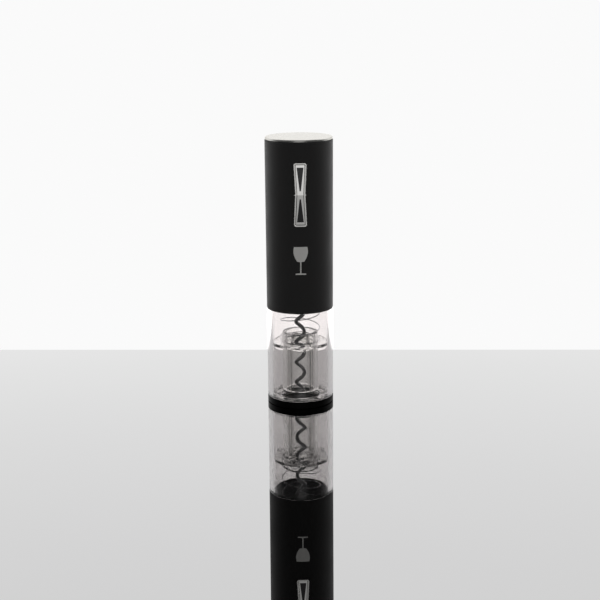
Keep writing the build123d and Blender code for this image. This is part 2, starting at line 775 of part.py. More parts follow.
# ---------------------------------------------------------------- switch
# Chrome frame that passes through the tube and sits on the chassis
with BuildPart() as switch_bezel:
    bow_tie(board_front, bezel_front)
    for side in (-1, 1):
        stub(tube_bore - 1, bezel_front, 0.6, side * bezel_half_waist, switch_height)
    front_edges = switch_bezel.faces().sort_by(Axis.Y)[0].edges()
    fillet(front_edges, radius=0.35)
    bow_tie(board_front, bezel_front, bezel_rim, mode=Mode.SUBTRACT)
    inner_edges = switch_bezel.faces().sort_by(Axis.Y)[0].inner_wires()[0].edges()
    chamfer(inner_edges, length=0.35)
    ring(switch_height - bezel_half_length - 5, switch_height + bezel_half_length + 5,
         chassis_radius, mode=Mode.SUBTRACT)
    rod(-bezel_half_waist + 0.3, bezel_half_waist - 0.3, pivot_radius, pivot_y, switch_height,
        mode=Mode.SUBTRACT)
save(switch_bezel, "switch_bezel")

with BuildPart() as rocker_pin:
    rod(-bezel_half_waist + 0.3, bezel_half_waist - 0.3, pivot_radius, pivot_y, switch_height)
save(rocker_pin, "rocker_pin")

rocker_inset = bezel_rim + slide_fit
ridge_y = -(front + rocker_ridge)
end_y = -(front - rocker_end_sink)
rocker_back = pivot_y + 1.3
rocker_half = bezel_half_length - rocker_inset


def rocker_depth(height):
    """Y of the rocker's front face at a height above its pivot."""
    return ridge_y + (end_y - ridge_y) * abs(height) / rocker_half


def inlay(side, proud):
    """The wedge of one pressing face's inlay, from its floor to so far in front of the face."""
    near = inlay_start
    far = rocker_half - inlay_end_gap
    with BuildSketch(Plane.YZ.offset(-bezel_half_end)) as layer:
        with BuildLine():
            Polyline(
                (rocker_depth(near) - proud, switch_height + side * (near - inlay_margin)),
                (rocker_depth(far) - proud, switch_height + side * (far + inlay_margin)),
                (rocker_depth(far) + inlay_depth, switch_height + side * (far + inlay_margin)),
                (rocker_depth(near) + inlay_depth, switch_height + side * (near - inlay_margin)),
                close=True,
            )
        make_face()
    with BuildSketch(Plane.XZ.offset(board_front)) as wedge:
        Polygon((-inlay_half_start, switch_height + side * near),
                (inlay_half_start, switch_height + side * near),
                (inlay_half_end, switch_height + side * far),
                (-inlay_half_end, switch_height + side * far), align=None)
    sheet = extrude(layer.sketch, amount=2 * bezel_half_end, mode=Mode.PRIVATE)
    column = extrude(wedge.sketch, amount=body_radius, mode=Mode.PRIVATE)
    return sheet & column


# Rocker: waisted like its frame, highest along its pivot, with two pressing faces
with BuildPart() as rocker:
    bow_tie(board_front, bezel_front + 1, rocker_inset)
    with BuildSketch(Plane.YZ.offset(-bezel_half_end)) as profile:
        with BuildLine():
            Polyline(
                (ridge_y, switch_height),
                (end_y, switch_height + rocker_half),
                (end_y, switch_height + rocker_half + 1),
                (rocker_back, switch_height + rocker_half + 1),
                (rocker_back, switch_height - rocker_half - 1),
                (end_y, switch_height - rocker_half - 1),
                (end_y, switch_height - rocker_half),
                close=True,
            )
        make_face()
    extrude(amount=2 * bezel_half_end, mode=Mode.INTERSECT)
    rod(-bezel_half_end, bezel_half_end, pivot_radius + spin_fit / 2, pivot_y, switch_height,
        mode=Mode.SUBTRACT)
    for side in (-1, 1):
        add(inlay(side, 1.0), mode=Mode.SUBTRACT)
save(rocker, "rocker")

# Dark inlays in the two pressing faces
with BuildPart() as rocker_inlay:
    for side in (-1, 1):
        add(inlay(side, 0.0))
save(rocker_inlay, "rocker_inlay")

with BuildPart() as switch_board:
    block((-5.5, 5.5), (-board_front, board_back), (board_low, switch_height + plunger_offset + 4))
save(switch_board, "switch_board")

plunger_heights = {"lower": switch_height - plunger_offset, "upper": switch_height + plunger_offset}
plunger_bore_depth = 1.2
with BuildPart() as tact_switches:
    for z in plunger_heights.values():
        block((-2.5, 2.5), (-board_front - tact_height, -board_front), (z - 2.5, z + 2.5))
        stub(board_front + tact_height - plunger_bore_depth, board_front + tact_height,
             plunger_radius + spin_fit, 0, z, mode=Mode.SUBTRACT)
save(tact_switches, "tact_switches")

for word, z in plunger_heights.items():
    with BuildPart() as plunger:
        stub(board_front + tact_height - plunger_bore_depth + 0.5, plunger_front,
             plunger_radius, 0, z)
    save(plunger, "plunger_" + word)

# ---------------------------------------------------------------- end cap
seal_height = plug_bottom + 1.4
seal_section = 0.55
seal_circle = neck_radius - 0.5
groove_radius = seal_circle - seal_section

# Plug that pushes into the tube's top; its flange leaves the shadow gap
with BuildPart() as end_cap_plug:
    ring(plug_bottom, cap_bottom, neck_radius)
    ring(tube_top, cap_bottom, body_radius - 0.8)
    ring(plug_bottom, plug_underside, chassis_inner + 0.3, mode=Mode.SUBTRACT)
    ring(seal_height - 0.65, seal_height + 0.65, neck_radius + 1, groove_radius,
         mode=Mode.SUBTRACT)
save(end_cap_plug, "end_cap_plug")

with BuildPart() as cap_seal:
    with BuildSketch(Plane.XZ):
        with Locations((seal_circle, seal_height)):
            Circle(seal_section)
    revolve(axis=Axis.Z)
save(cap_seal, "cap_seal")

# Metal plate bonded to the plug
with BuildPart() as end_cap_trim:
    ring(cap_bottom, cap_top, body_radius)
    upper_rim = end_cap_trim.faces().sort_by(Axis.Z)[-1].edges()
    fillet(upper_rim, radius=0.7)
save(end_cap_trim, "end_cap_trim")

with BuildPart() as cap_contact:
    for side in (-1, 1):
        reach = sorted((side * (half_spacing - 3), side * (half_spacing + 3)))
        block((-half_spacing - 3, half_spacing + 3), reach, (cell_top, plug_underside))
save(cap_contact, "cap_contact")
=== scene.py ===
"""Battery wine opener on its foil cutter: the looks of every piece, in the order they go together.

Metres, +Z up, origin at the centre of the foot, switch towards -Y.
"""
import math

import bpy
import bmesh
from mathutils import Matrix, Vector


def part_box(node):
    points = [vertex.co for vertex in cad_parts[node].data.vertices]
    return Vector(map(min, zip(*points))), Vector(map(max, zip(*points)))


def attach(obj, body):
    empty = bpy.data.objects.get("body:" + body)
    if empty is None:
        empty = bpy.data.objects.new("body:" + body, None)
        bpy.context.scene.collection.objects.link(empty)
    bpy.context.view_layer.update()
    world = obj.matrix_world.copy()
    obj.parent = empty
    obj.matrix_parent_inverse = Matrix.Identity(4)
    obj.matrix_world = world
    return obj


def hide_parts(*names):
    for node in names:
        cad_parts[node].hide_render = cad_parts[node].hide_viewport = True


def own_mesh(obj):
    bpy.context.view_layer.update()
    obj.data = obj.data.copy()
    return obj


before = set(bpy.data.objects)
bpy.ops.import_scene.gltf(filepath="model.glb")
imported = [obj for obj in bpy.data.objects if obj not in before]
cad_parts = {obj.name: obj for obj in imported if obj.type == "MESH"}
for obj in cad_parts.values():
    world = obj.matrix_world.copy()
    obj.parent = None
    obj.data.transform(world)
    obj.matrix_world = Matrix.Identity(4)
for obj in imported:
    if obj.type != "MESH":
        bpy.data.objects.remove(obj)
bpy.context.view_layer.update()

# ---------------------------------------------------------------------------------------------
# Camera: a long lens above the opener, looking slightly down at it and a little from its left.
camera_distance = 0.9203
camera_height = 0.302
camera_pitch = math.radians(13.79)
camera_roll = math.radians(0.46)
camera_swing = math.radians(-1.9)
focal_length = 78.2
shift_across = 0.0043
shift_up = -0.0017

lens = bpy.data.cameras.new("studio_camera")
lens.lens = focal_length
lens.sensor_width = 36.0
lens.shift_x = shift_across
lens.shift_y = shift_up
camera = bpy.data.objects.new("studio_camera", lens)
bpy.context.collection.objects.link(camera)
camera.location = (camera_distance * math.sin(camera_swing),
                   -camera_distance * math.cos(camera_swing), camera_height)
camera.rotation_euler = (math.pi / 2 - camera_pitch, camera_roll, camera_swing)
bpy.context.scene.camera = camera


# ---------------------------------------------------------------------------------------------
# Foil cutter: a two-shot moulding, a black band round a pale frosted core, on a silicone foot
# ring. The four hardened wheels turn on steel pins in the core's pockets.
tiny_length = 1e-9
merge_distance = 1e-7


def new_material(name):
    """A node material, its shader and its Object coordinates."""
    made = bpy.data.materials.new(name)
    made.use_nodes = True
    shader = made.node_tree.nodes["Principled BSDF"]
    place = made.node_tree.nodes.new("ShaderNodeTexCoord")
    return made, shader, place


def set_sockets(made, **values):
    """Fixed values on the sockets of a material's shader."""
    shader = made.node_tree.nodes["Principled BSDF"]
    for word, value in values.items():
        shader.inputs[word.replace("_", " ")].default_value = value


def noise(made, place, scale, detail=3.0, stretch=(1.0, 1.0, 1.0)):
    """A noise texture with so many grains to the metre, stretched along an axis if asked."""
    mapping = made.node_tree.nodes.new("ShaderNodeMapping")
    mapping.inputs["Scale"].default_value = stretch
    pattern = made.node_tree.nodes.new("ShaderNodeTexNoise")
    pattern.inputs["Scale"].default_value = scale
    pattern.inputs["Detail"].default_value = detail
    made.node_tree.links.new(place.outputs["Object"], mapping.inputs["Vector"])
    made.node_tree.links.new(mapping.outputs["Vector"], pattern.inputs["Vector"])
    return pattern.outputs["Fac"]


def spread(made, source, low, high):
    """The source, from 0.3 to 0.7, spread between two values."""
    change = made.node_tree.nodes.new("ShaderNodeMapRange")
    change.inputs["From Min"].default_value = 0.3
    change.inputs["From Max"].default_value = 0.7
    change.inputs["To Min"].default_value = low
    change.inputs["To Max"].default_value = high
    made.node_tree.links.new(source, change.inputs["Value"])
    return change.outputs["Result"]


def two_tone(made, source, dark, light):
    """A colour that wanders between two tones with the source."""
    blend = made.node_tree.nodes.new("ShaderNodeMix")
    blend.data_type = "RGBA"
    blend.inputs["A"].default_value = (*dark, 1.0)
    blend.inputs["B"].default_value = (*light, 1.0)
    made.node_tree.links.new(source, blend.inputs["Factor"])
    return blend.outputs["Result"]


def bump(made, shader, source, depth):
    """Surface relief of that depth in metres."""
    relief = made.node_tree.nodes.new("ShaderNodeBump")
    relief.inputs["Distance"].default_value = depth
    relief.inputs["Strength"].default_value = 1.0
    made.node_tree.links.new(source, relief.inputs["Height"])
    made.node_tree.links.new(relief.outputs["Normal"], shader.inputs["Normal"])


def moulded(name, dark, light, smooth, rough, grain=2500.0, depth=4e-6):
    """Injection-moulded plastic or rubber: two close tones, an uneven sheen and a fine grain."""
    made, shader, place = new_material(name)
    patches = noise(made, place, 60.0)
    fine = noise(made, place, grain, 2.0)
    made.node_tree.links.new(two_tone(made, patches, dark, light), shader.inputs["Base Color"])
    made.node_tree.links.new(spread(made, patches, smooth, rough), shader.inputs["Roughness"])
    bump(made, shader, fine, depth)
    return made


def machined(name, dark, light, smooth, rough, stretch=(1.0, 1.0, 30.0), grain=700.0, depth=2e-6):
    """Bare or plated metal with fine tool marks drawn out along one direction."""
    made, shader, place = new_material(name)
    marks = noise(made, place, grain, 4.0, stretch)
    patches = noise(made, place, 120.0)
    made.node_tree.links.new(two_tone(made, patches, dark, light), shader.inputs["Base Color"])
    made.node_tree.links.new(spread(made, marks, smooth, rough), shader.inputs["Roughness"])
    set_sockets(made, Metallic=1.0)
    bump(made, shader, marks, depth)
    return made


def wear(material, slot, *nodes):
    """Gives CAD nodes their finish."""
    for node in nodes:
        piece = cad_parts[node]
        piece.data.materials.clear()
        piece.data.materials.append(material)


def smooth_by_angle(mesh, degrees):
    """Smooth faces, with sharp edges where two faces meet at more than the angle."""
    limit = math.radians(degrees)
    sheet = bmesh.new()
    sheet.from_mesh(mesh)
    for face in sheet.faces:
        face.smooth = True
    for edge in sheet.edges:
        edge.smooth = len(edge.link_faces) == 2 and edge.calc_face_angle(0.0) < limit
    sheet.to_mesh(mesh)
    sheet.free()


def piece_from(sheet, name, material, body, slot, *nodes, crease=8.0):
    """Closes a mesh, turns its faces outwards and puts it in the place of its CAD nodes."""
    bmesh.ops.remove_doubles(sheet, verts=sheet.verts, dist=merge_distance)
    bmesh.ops.dissolve_degenerate(sheet, edges=sheet.edges, dist=merge_distance)
    bmesh.ops.recalc_face_normals(sheet, faces=sheet.faces)
    mesh = bpy.data.meshes.new(name)
    sheet.to_mesh(mesh)
    sheet.free()
    smooth_by_angle(mesh, crease)
    mesh.materials.append(material)
    piece = bpy.data.objects.new(name, mesh)
    bpy.context.collection.objects.link(piece)
    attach(piece, body)
    if nodes:
        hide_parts(*nodes)
    return piece


def rounded(outline, steps=4):
    """A closed outline of (radius, height, rounding) corners, with arcs in its corners."""
    points = []
    count = len(outline)
    for index, (radius, height, rounding) in enumerate(outline):
        corner = Vector((radius, height))
        before = Vector(outline[index - 1][:2]) - corner
        after = Vector(outline[(index + 1) % count][:2]) - corner
        if rounding <= 0 or before.length < tiny_length or after.length < tiny_length:
            points.append((radius, height))
            continue
        before.normalize()
        after.normalize()
        half = before.angle(after) / 2
        reach = rounding / math.tan(half)
        centre = corner + (before + after).normalized() * rounding / math.sin(half)
        start = corner + before * reach - centre
        end = corner + after * reach - centre
        for step in range(steps + 1):
            share = step / steps
            spoke = (start * (1 - share) + end * share).normalized() * rounding
            points.append((centre.x + spoke.x, centre.y + spoke.y))
    return points


def lathe(sheet, outline, segments=256):
    """Turns a closed outline of (radius, height) points round the Z axis."""
    rings = []
    for radius, height in outline:
        if radius < tiny_length:
            rings.append([sheet.verts.new((0, 0, height))] * segments)
            continue
        turn = [2 * math.pi * step / segments for step in range(segments)]
        rings.append([sheet.verts.new((radius * math.cos(a), radius * math.sin(a), height))
                      for a in turn])
    for lower, upper in zip(rings, rings[1:] + rings[:1]):
        for step in range(segments):
            other = (step + 1) % segments
            corners = [lower[step], lower[other], upper[other], upper[step]]
            face = [v for i, v in enumerate(corners) if v not in corners[:i]]
            if len(face) > 2:
                sheet.faces.new(face)


def solid(sheet):
    """A closed sheet as an object of its own, with its faces turned outwards."""
    bmesh.ops.remove_doubles(sheet, verts=sheet.verts, dist=merge_distance)
    bmesh.ops.recalc_face_normals(sheet, faces=sheet.faces)
    mesh = bpy.data.meshes.new("solid")
    sheet.to_mesh(mesh)
    sheet.free()
    made = bpy.data.objects.new("solid", mesh)
    bpy.context.collection.objects.link(made)
    return made


def carved(sheet, *steps):
    """A closed sheet with other closed sheets joined to it or cut from it, exactly and in order."""
    target = solid(sheet)
    tools = []
    for operation, tool in steps:
        tools.append(solid(tool))
        change = target.modifiers.new("carve", "BOOLEAN")
        change.operation = operation
        change.solver = "EXACT"
        change.object = tools[-1]
    bpy.context.view_layer.update()
    ready = target.evaluated_get(bpy.context.evaluated_depsgraph_get())
    mesh = bpy.data.meshes.new_from_object(ready)
    result = bmesh.new()
    result.from_mesh(mesh)
    bpy.data.meshes.remove(mesh)
    for made in [target, *tools]:
        bpy.data.objects.remove(made)
    return result


def prism(sheet, outline, low, high, place=lambda a, b, depth: (a, b, depth)):
    """A closed prism over an outline; place turns (a, b, depth) into a point."""
    floor = [sheet.verts.new(place(a, b, low)) for a, b in outline]
    roof = [sheet.verts.new(place(a, b, high)) for a, b in outline]
    sheet.faces.new(floor)
    sheet.faces.new(roof)
    for index in range(len(outline)):
        other = (index + 1) % len(outline)
        sheet.faces.new([floor[index], floor[other], roof[other], roof[index]])


def circle(x, y, radius, segments=64):
    """Points round a circle."""
    turn = [2 * math.pi * step / segments for step in range(segments)]
    return [(x + radius * math.cos(a), y + radius * math.sin(a)) for a in turn]


def spoke(angle, inner, outer, width):
    """The outline of a radial bar."""
    along = Vector((math.cos(angle), math.sin(angle)))
    across = Vector((-along.y, along.x)) * width / 2
    corners = (along * inner - across, along * outer - across,
               along * outer + across, along * inner + across)
    return [tuple(corner) for corner in corners]


base_low, base_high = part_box("cutter_body")
pad_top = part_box("base_pad")[1].z
cover_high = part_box("cutter_cover")[1]
foot_radius = base_high.x
cutter_hole = 0.0142
core_radius = 0.022
pad_inner = 0.0164
rim = 0.001
cover_flange = 0.0012
cover_seat = base_high.z - cover_flange
lip_radius = 0.0201
lip_wall = 0.0015
key_half = 0.0045
key_reach = 0.001
pocket_depth = 0.0017
wheel_play = 0.0004
overcut = 0.001
fine_edge = 0.0002

foot_black = moulded("foot_black", (0.0015, 0.0015, 0.0015), (0.0025, 0.0025, 0.0025), 0.3, 0.42)
set_sockets(foot_black, Specular_IOR_Level=0.04)
foot_silicone = moulded("foot_silicone", (0.6, 0.6, 0.6), (0.72, 0.72, 0.72), 0.35, 0.5, 900.0, 5e-6)
set_sockets(foot_silicone, Transmission_Weight=0.7)
foot_rubber = moulded("foot_rubber", (0.012, 0.012, 0.012), (0.02, 0.02, 0.02), 0.7, 0.85, 900.0, 1e-5)
wheel_steel = machined("wheel_steel", (0.5, 0.5, 0.51), (0.66, 0.66, 0.67), 0.12, 0.3)

wheels = [f"cutter_wheel_{number}" for number in (1, 2, 3, 4)]
wheel_boxes = [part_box(wheel) for wheel in wheels]
wheel_low, wheel_high = wheel_boxes[0]
pocket_radius = (wheel_high.x - wheel_low.x) / 2 + wheel_play

band = bmesh.new()
lathe(band, rounded([
    (core_radius, base_low.z, 0.0),
    (foot_radius, base_low.z, 0.0001),
    (foot_radius, base_high.z, 0.0003),
    (foot_radius - rim, base_high.z, 0.0),
    (foot_radius - rim, cover_seat, 0.0),
    (core_radius, cover_seat, 0.0),
]))
piece_from(band, "cutter_band", foot_black, "base", "base_black", "cutter_body")
wear(foot_silicone, "foot_silicone", "base_pad")
wear(wheel_steel, "steel", "cutter_axles", *wheels)


# ---------------------------------------------------------------------------------------------
# Frosted core and clear cover of the cutter, with the wheels between them. The cover's lip plugs
# up into the barrel and carries a key at the front that keeps the two from turning.
def clear(name, dark, light, index):
    """Clear moulded plastic with faint flow marks."""
    made, shader, place = new_material(name)
    flow = noise(made, place, 70.0, 2.0, (1.0, 1.0, 0.25))
    made.node_tree.links.new(two_tone(made, flow, dark, light), shader.inputs["Base Color"])
    set_sockets(made, Roughness=0.0, Transmission_Weight=1.0, IOR=index)
    bump(made, shader, flow, 4e-6)
    return made


guide_plastic = clear("guide_plastic", (0.9, 0.9, 0.89), (0.94, 0.94, 0.93), 1.5)

core = bmesh.new()
lathe(core, rounded([
    (cutter_hole, base_low.z, fine_edge),
    (pad_inner, base_low.z, 0.0),
    (pad_inner, pad_top, 0.0),
    (core_radius, pad_top, 0.0),
    (core_radius, cover_seat, 0.0),
    (cutter_hole, cover_seat, 0.0),
]))
pockets = bmesh.new()
for low, high in wheel_boxes:
    centre = (low + high) / 2
    prism(pockets, circle(centre.x, centre.y, pocket_radius), cover_seat - pocket_depth,
          cover_seat + overcut)
core_plastic = moulded("core_plastic", (0.9, 0.9, 0.88), (0.95, 0.95, 0.93), 0.12, 0.3, 500.0, 2e-5)
set_sockets(core_plastic, Transmission_Weight=0.2)
piece_from(carved(core, ("DIFFERENCE", pockets)), "cutter_core", core_plastic, "base",
           "guide_clear", "cutter_body")

cover = bmesh.new()
lathe(cover, rounded([
    (cutter_hole, cover_seat, fine_edge),
    (cover_high.x, cover_seat, fine_edge),
    (cover_high.x, base_high.z, fine_edge),
    (lip_radius, base_high.z, 0.0),
    (lip_radius, cover_high.z, fine_edge),
    (lip_radius - lip_wall, cover_high.z, fine_edge),
    (lip_radius - lip_wall, base_high.z, fine_edge / 2),
    (cutter_hole, base_high.z, fine_edge),
]))
key = bmesh.new()
prism(key, [(-key_half, -lip_radius - key_reach), (key_half, -lip_radius - key_reach),
            (key_half, -lip_radius + lip_wall), (-key_half, -lip_radius + lip_wall)],
      base_high.z, cover_high.z)
cover = carved(cover, ("UNION", key))
piece_from(cover, "cutter_clear_cover", guide_plastic, "base", "guide_clear", "cutter_cover")

# ---------------------------------------------------------------------------------------------
# Barrel: thick clear plastic, flush with the body tube, with a neck that goes up inside it.
# Three small lugs inside it stop the cork guide, and a keyway takes the cutter's key.
sleeve_low, sleeve_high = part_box("clear_sleeve")
tube_low, tube_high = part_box("outer_tube")
bore = 0.0203
neck_radius = 0.022
neck_opening = 0.017
neck_wall = 0.002
neck_floor = sleeve_high.z - neck_wall
edge = 0.00025
lug_reach = 0.0013
lug_root = 0.0005
lug_width = 0.005
lug_low = 0.0419
lug_high = 0.0435
keyway_play = 0.0002
screw_circle = 0.0183
screw_hole = 0.00135

barrel_plastic = clear("barrel_plastic", (0.81, 0.79, 0.785), (0.84, 0.82, 0.815), 1.57)
smoke = barrel_plastic.node_tree.nodes.new("ShaderNodeVolumeAbsorption")
smoke.inputs["Color"].default_value = (0.5, 0.48, 0.49, 1.0)
smoke.inputs["Density"].default_value = 60.0
barrel_plastic.node_tree.links.new(
    smoke.outputs["Volume"], barrel_plastic.node_tree.nodes["Material Output"].inputs["Volume"])

barrel = bmesh.new()
lathe(barrel, rounded([
    (bore, sleeve_low.z, edge),
    (sleeve_high.x, sleeve_low.z, edge),
    (sleeve_high.x, tube_low.z, edge),
    (neck_radius, tube_low.z, edge),
    (neck_radius, sleeve_high.z, edge),
    (neck_opening, sleeve_high.z, edge),
    (neck_opening, neck_floor, edge),
    (bore, neck_floor, edge),
]))
lugs = bmesh.new()
for angle in (30, 150, 270):
    prism(lugs, spoke(math.radians(angle), bore - lug_reach, bore + lug_root, lug_width),
          lug_low, lug_high)
keyway = bmesh.new()
keyway_half = key_half + keyway_play
prism(keyway, [(-keyway_half, -bore - key_reach), (keyway_half, -bore - key_reach),
               (keyway_half, -bore + overcut), (-keyway_half, -bore + overcut)],
      sleeve_low.z - overcut, cover_high.z + keyway_play)
holes = bmesh.new()
for angle in (90, 210, 330):
    turn = math.radians(angle)
    prism(holes, circle(screw_circle * math.cos(turn), screw_circle * math.sin(turn), screw_hole),
          neck_floor - overcut, sleeve_high.z + overcut)
barrel = carved(barrel, ("UNION", lugs), ("DIFFERENCE", keyway), ("DIFFERENCE", holes))
piece_from(barrel, "clear_barrel", barrel_plastic, "housing", "clear_plastic", "clear_sleeve")

# ---------------------------------------------------------------------------------------------
# Cork guide: a clear tube that centres the bottle's neck, with a flange that slides in the barrel,
# a collar inside the spring and a hub on four spokes round the worm.
guide_low, guide_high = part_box("cork_guide")
guide_bore = 0.01
guide_outer = 0.013
collar_step = 0.0001
flange_top = 0.0458
flange_low = 0.0436
hub_bore = 0.00485
hub_outer = 0.0068
hub_top = 0.0505
arm_width = 0.0032
arm_root = 0.001
rib_width = 0.0016
rib_reach = 0.0007
join = 0.0005

guide = bmesh.new()
lathe(guide, rounded([
    (guide_bore, guide_low.z, edge),
    (guide_outer, guide_low.z, edge),
    (guide_outer, flange_low, edge),
    (guide_high.x, flange_low, edge),
    (guide_high.x, flange_top, edge),
    (guide_outer - collar_step, flange_top, edge),
    (guide_outer - collar_step, guide_high.z, edge),
    (guide_bore, guide_high.z, edge),
]))
hub = bmesh.new()
lathe(hub, rounded([
    (hub_bore, flange_low, edge),
    (hub_outer, flange_low, edge),
    (hub_outer, hub_top, edge),
    (hub_bore, hub_top, edge),
]), 128)
arms = bmesh.new()
for quarter in range(4):
    prism(arms, spoke(math.pi / 2 * quarter, hub_bore + arm_root, guide_bore + join, arm_width),
          flange_low, flange_top)
ribs = bmesh.new()
for quarter in range(4):
    prism(ribs, spoke(math.pi / 4 + math.pi / 2 * quarter, guide_bore - rib_reach,
                      guide_bore + join, rib_width), guide_low.z + edge, flange_low + edge)
guide = carved(guide, ("UNION", arms), ("UNION", hub), ("UNION", ribs))
piece_from(guide, "clear_guide", guide_plastic, "guide", "guide_clear", "cork_guide")


# ---------------------------------------------------------------------------------------------
# Guide spring: light steel wire with a closed turn at each end, wound round the guide's collar.
# It pushes the guide down and is squeezed against its washer as the bottle pushes the guide up.
def wire_up(tree, kind, *inputs, **settings):
    """Adds a node and feeds its sockets in order: a socket is linked, a number is set."""
    made = tree.nodes.new(kind)
    for key, value in settings.items():
        setattr(made, key, value)
    for socket, value in zip(made.inputs, inputs):
        if isinstance(value, bpy.types.NodeSocket):
            tree.links.new(value, socket)
        elif value is not None:
            socket.default_value = value
    return made.outputs[0]


def coil_tree():
    """A right-hand coil about Z as geometry nodes, with closed turns or a tapered point if asked."""
    tree = bpy.data.node_groups.new("coil", "GeometryNodeTree")
    tree.interface.new_socket("Geometry", in_out="OUTPUT", socket_type="NodeSocketGeometry")
    for name in ("Low", "High", "Pitch", "Phase Height", "Radius", "Wire", "Point", "Taper",
                 "Closed Turns", "Closed Pitch"):
        tree.interface.new_socket(name, in_out="INPUT", socket_type="NodeSocketFloat")
    tree.interface.new_socket("Steps", in_out="INPUT", socket_type="NodeSocketInt")
    tree.interface.new_socket("Sides", in_out="INPUT", socket_type="NodeSocketInt")
    tree.interface.new_socket("Material", in_out="INPUT", socket_type="NodeSocketMaterial")
    given = tree.nodes.new("NodeGroupInput").outputs

    def maths(operation, first, second=0.0):
        return wire_up(tree, "ShaderNodeMath", first, second, operation=operation)

    closed_rise = maths("MULTIPLY", given["Closed Turns"], given["Closed Pitch"])
    low = maths("ADD", given["Low"], closed_rise)
    high = maths("SUBTRACT", given["High"], closed_rise)
    turns = maths("DIVIDE", maths("SUBTRACT", high, low), given["Pitch"])
    all_turns = maths("ADD", turns, maths("MULTIPLY", given["Closed Turns"], 2.0))
    share = wire_up(tree, "GeometryNodeSplineParameter")
    turn = maths("SUBTRACT", maths("MULTIPLY", share, all_turns), given["Closed Turns"])
    open_turn = maths("MINIMUM", maths("MAXIMUM", turn, 0.0), turns)
    closed_turn = maths("SUBTRACT", turn, open_turn)
    height = maths("ADD", low, maths("ADD", maths("MULTIPLY", open_turn, given["Pitch"]),
                                     maths("MULTIPLY", closed_turn, given["Closed Pitch"])))
    phase = maths("DIVIDE", maths("SUBTRACT", low, given["Phase Height"]), given["Pitch"])
    angle = maths("MULTIPLY", maths("ADD", turn, phase), 2 * math.pi)
    place = wire_up(tree, "ShaderNodeCombineXYZ",
                    maths("MULTIPLY", maths("COSINE", angle), given["Radius"]),
                    maths("MULTIPLY", maths("SINE", angle), given["Radius"]), height)
    line = wire_up(tree, "GeometryNodeCurvePrimitiveLine", (0, 0, 0), (0, 0, 1))
    line = wire_up(tree, "GeometryNodeResampleCurve", line, None, given["Steps"])
    line = wire_up(tree, "GeometryNodeSetPosition", line, None, place)
    thickness = wire_up(tree, "ShaderNodeMapRange", height, given["Low"],
                        maths("ADD", given["Low"], given["Taper"]), given["Point"],
                        given["Wire"])
    section = wire_up(tree, "GeometryNodeCurvePrimitiveCircle", given["Sides"])
    section.node.inputs["Radius"].default_value = 1.0
    mesh = wire_up(tree, "GeometryNodeCurveToMesh", line, section, thickness, True)
    mesh = wire_up(tree, "GeometryNodeRealizeInstances", mesh)
    mesh = wire_up(tree, "GeometryNodeSetMaterial", mesh, None, given["Material"])
    tree.links.new(mesh, tree.nodes.new("NodeGroupOutput").inputs[0])
    return tree


def coil(tree, **sizes):
    """The coil of those sizes as a sheet."""
    maker = bpy.data.objects.new("coil_maker", bpy.data.meshes.new("coil_maker"))
    bpy.context.collection.objects.link(maker)
    change = maker.modifiers.new("coil", "NODES")
    change.node_group = tree
    for item in tree.interface.items_tree:
        word = item.name.lower().replace(" ", "_")
        if item.in_out == "INPUT" and word in sizes:
            change[item.identifier] = sizes[word]
    bpy.context.view_layer.update()
    ready = maker.evaluated_get(bpy.context.evaluated_depsgraph_get())
    mesh = bpy.data.meshes.new_from_object(ready)
    sheet = bmesh.new()
    sheet.from_mesh(mesh)
    bpy.data.meshes.remove(mesh)
    bpy.data.objects.remove(maker)
    return sheet


coils = coil_tree()
spring_low, spring_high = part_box("guide_spring")
spring_wire = 0.0003
spring_radius = 0.01425
spring_pitch = 0.0115
spring_phase_height = 0.05565
closed_pitch = 0.00065
coil_steps = 420
spring_steel = machined("spring_steel", (0.42, 0.42, 0.43), (0.6, 0.6, 0.61), 0.14, 0.3,
                        (1.0, 1.0, 1.0), 1500.0, 1e-6)
spring = coil(coils, low=spring_low.z + spring_wire, high=spring_high.z - spring_wire,
              pitch=spring_pitch, phase_height=spring_phase_height, radius=spring_radius,
              wire=spring_wire, point=spring_wire, taper=spring_pitch, closed_turns=1.0,
              closed_pitch=closed_pitch, steps=coil_steps, sides=12, material=spring_steel)
spring = piece_from(spring, "wound_spring", spring_steel, "housing", "spring_steel",
                    "guide_spring", crease=60.0)
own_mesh(spring)

# ---------------------------------------------------------------------------------------------
# Worm: round steel wire, tapered to a point over its last third of a turn, with a dark non-stick
# coat. Its chuck, washer and spindle turn with it.
worm_wire = 0.0014
worm_point = 0.00025
worm_taper = 0.0058
worm_radius = 0.00293
worm_pitch = 0.01525
worm_phase_height = 0.021625
worm_start = 0.0055
worm_end = 0.0796
worm_coat = machined("worm_coat", (0.17, 0.17, 0.173), (0.24, 0.24, 0.245), 0.32, 0.48,
                     (1.0, 1.0, 1.0), 900.0, 2e-6)
worm = coil(coils, low=worm_start, high=worm_end, pitch=worm_pitch,
            phase_height=worm_phase_height, radius=worm_radius, wire=worm_wire, point=worm_point,
            taper=worm_taper, closed_turns=0.0, closed_pitch=closed_pitch, steps=coil_steps,
            sides=24, material=worm_coat)
piece_from(worm, "coated_worm", worm_coat, "spindle", "worm_coating", "worm", crease=60.0)


# ---------------------------------------------------------------------------------------------
# Body tube: black soft-touch plastic with a fine matt grain, cut out for the waisted switch.
def waisted(inset, rounding):
    """The switch's outline in X and Z, wide at its ends and narrow at the pivot."""
    half_length = switch_half_length - inset
    half_end = switch_half_end - inset
    half_waist = switch_half_waist - inset
    return rounded([
        (half_end, switch_height + half_length, rounding),
        (half_waist, switch_height, 0.0),
        (half_end, switch_height - half_length, rounding),
        (-half_end, switch_height - half_length, rounding),
        (-half_waist, switch_height, 0.0),
        (-half_end, switch_height + half_length, rounding),
    ], 8)


def facing(a, b, depth):
    """Points of a prism that stands along Y."""
    return (a, depth, b)


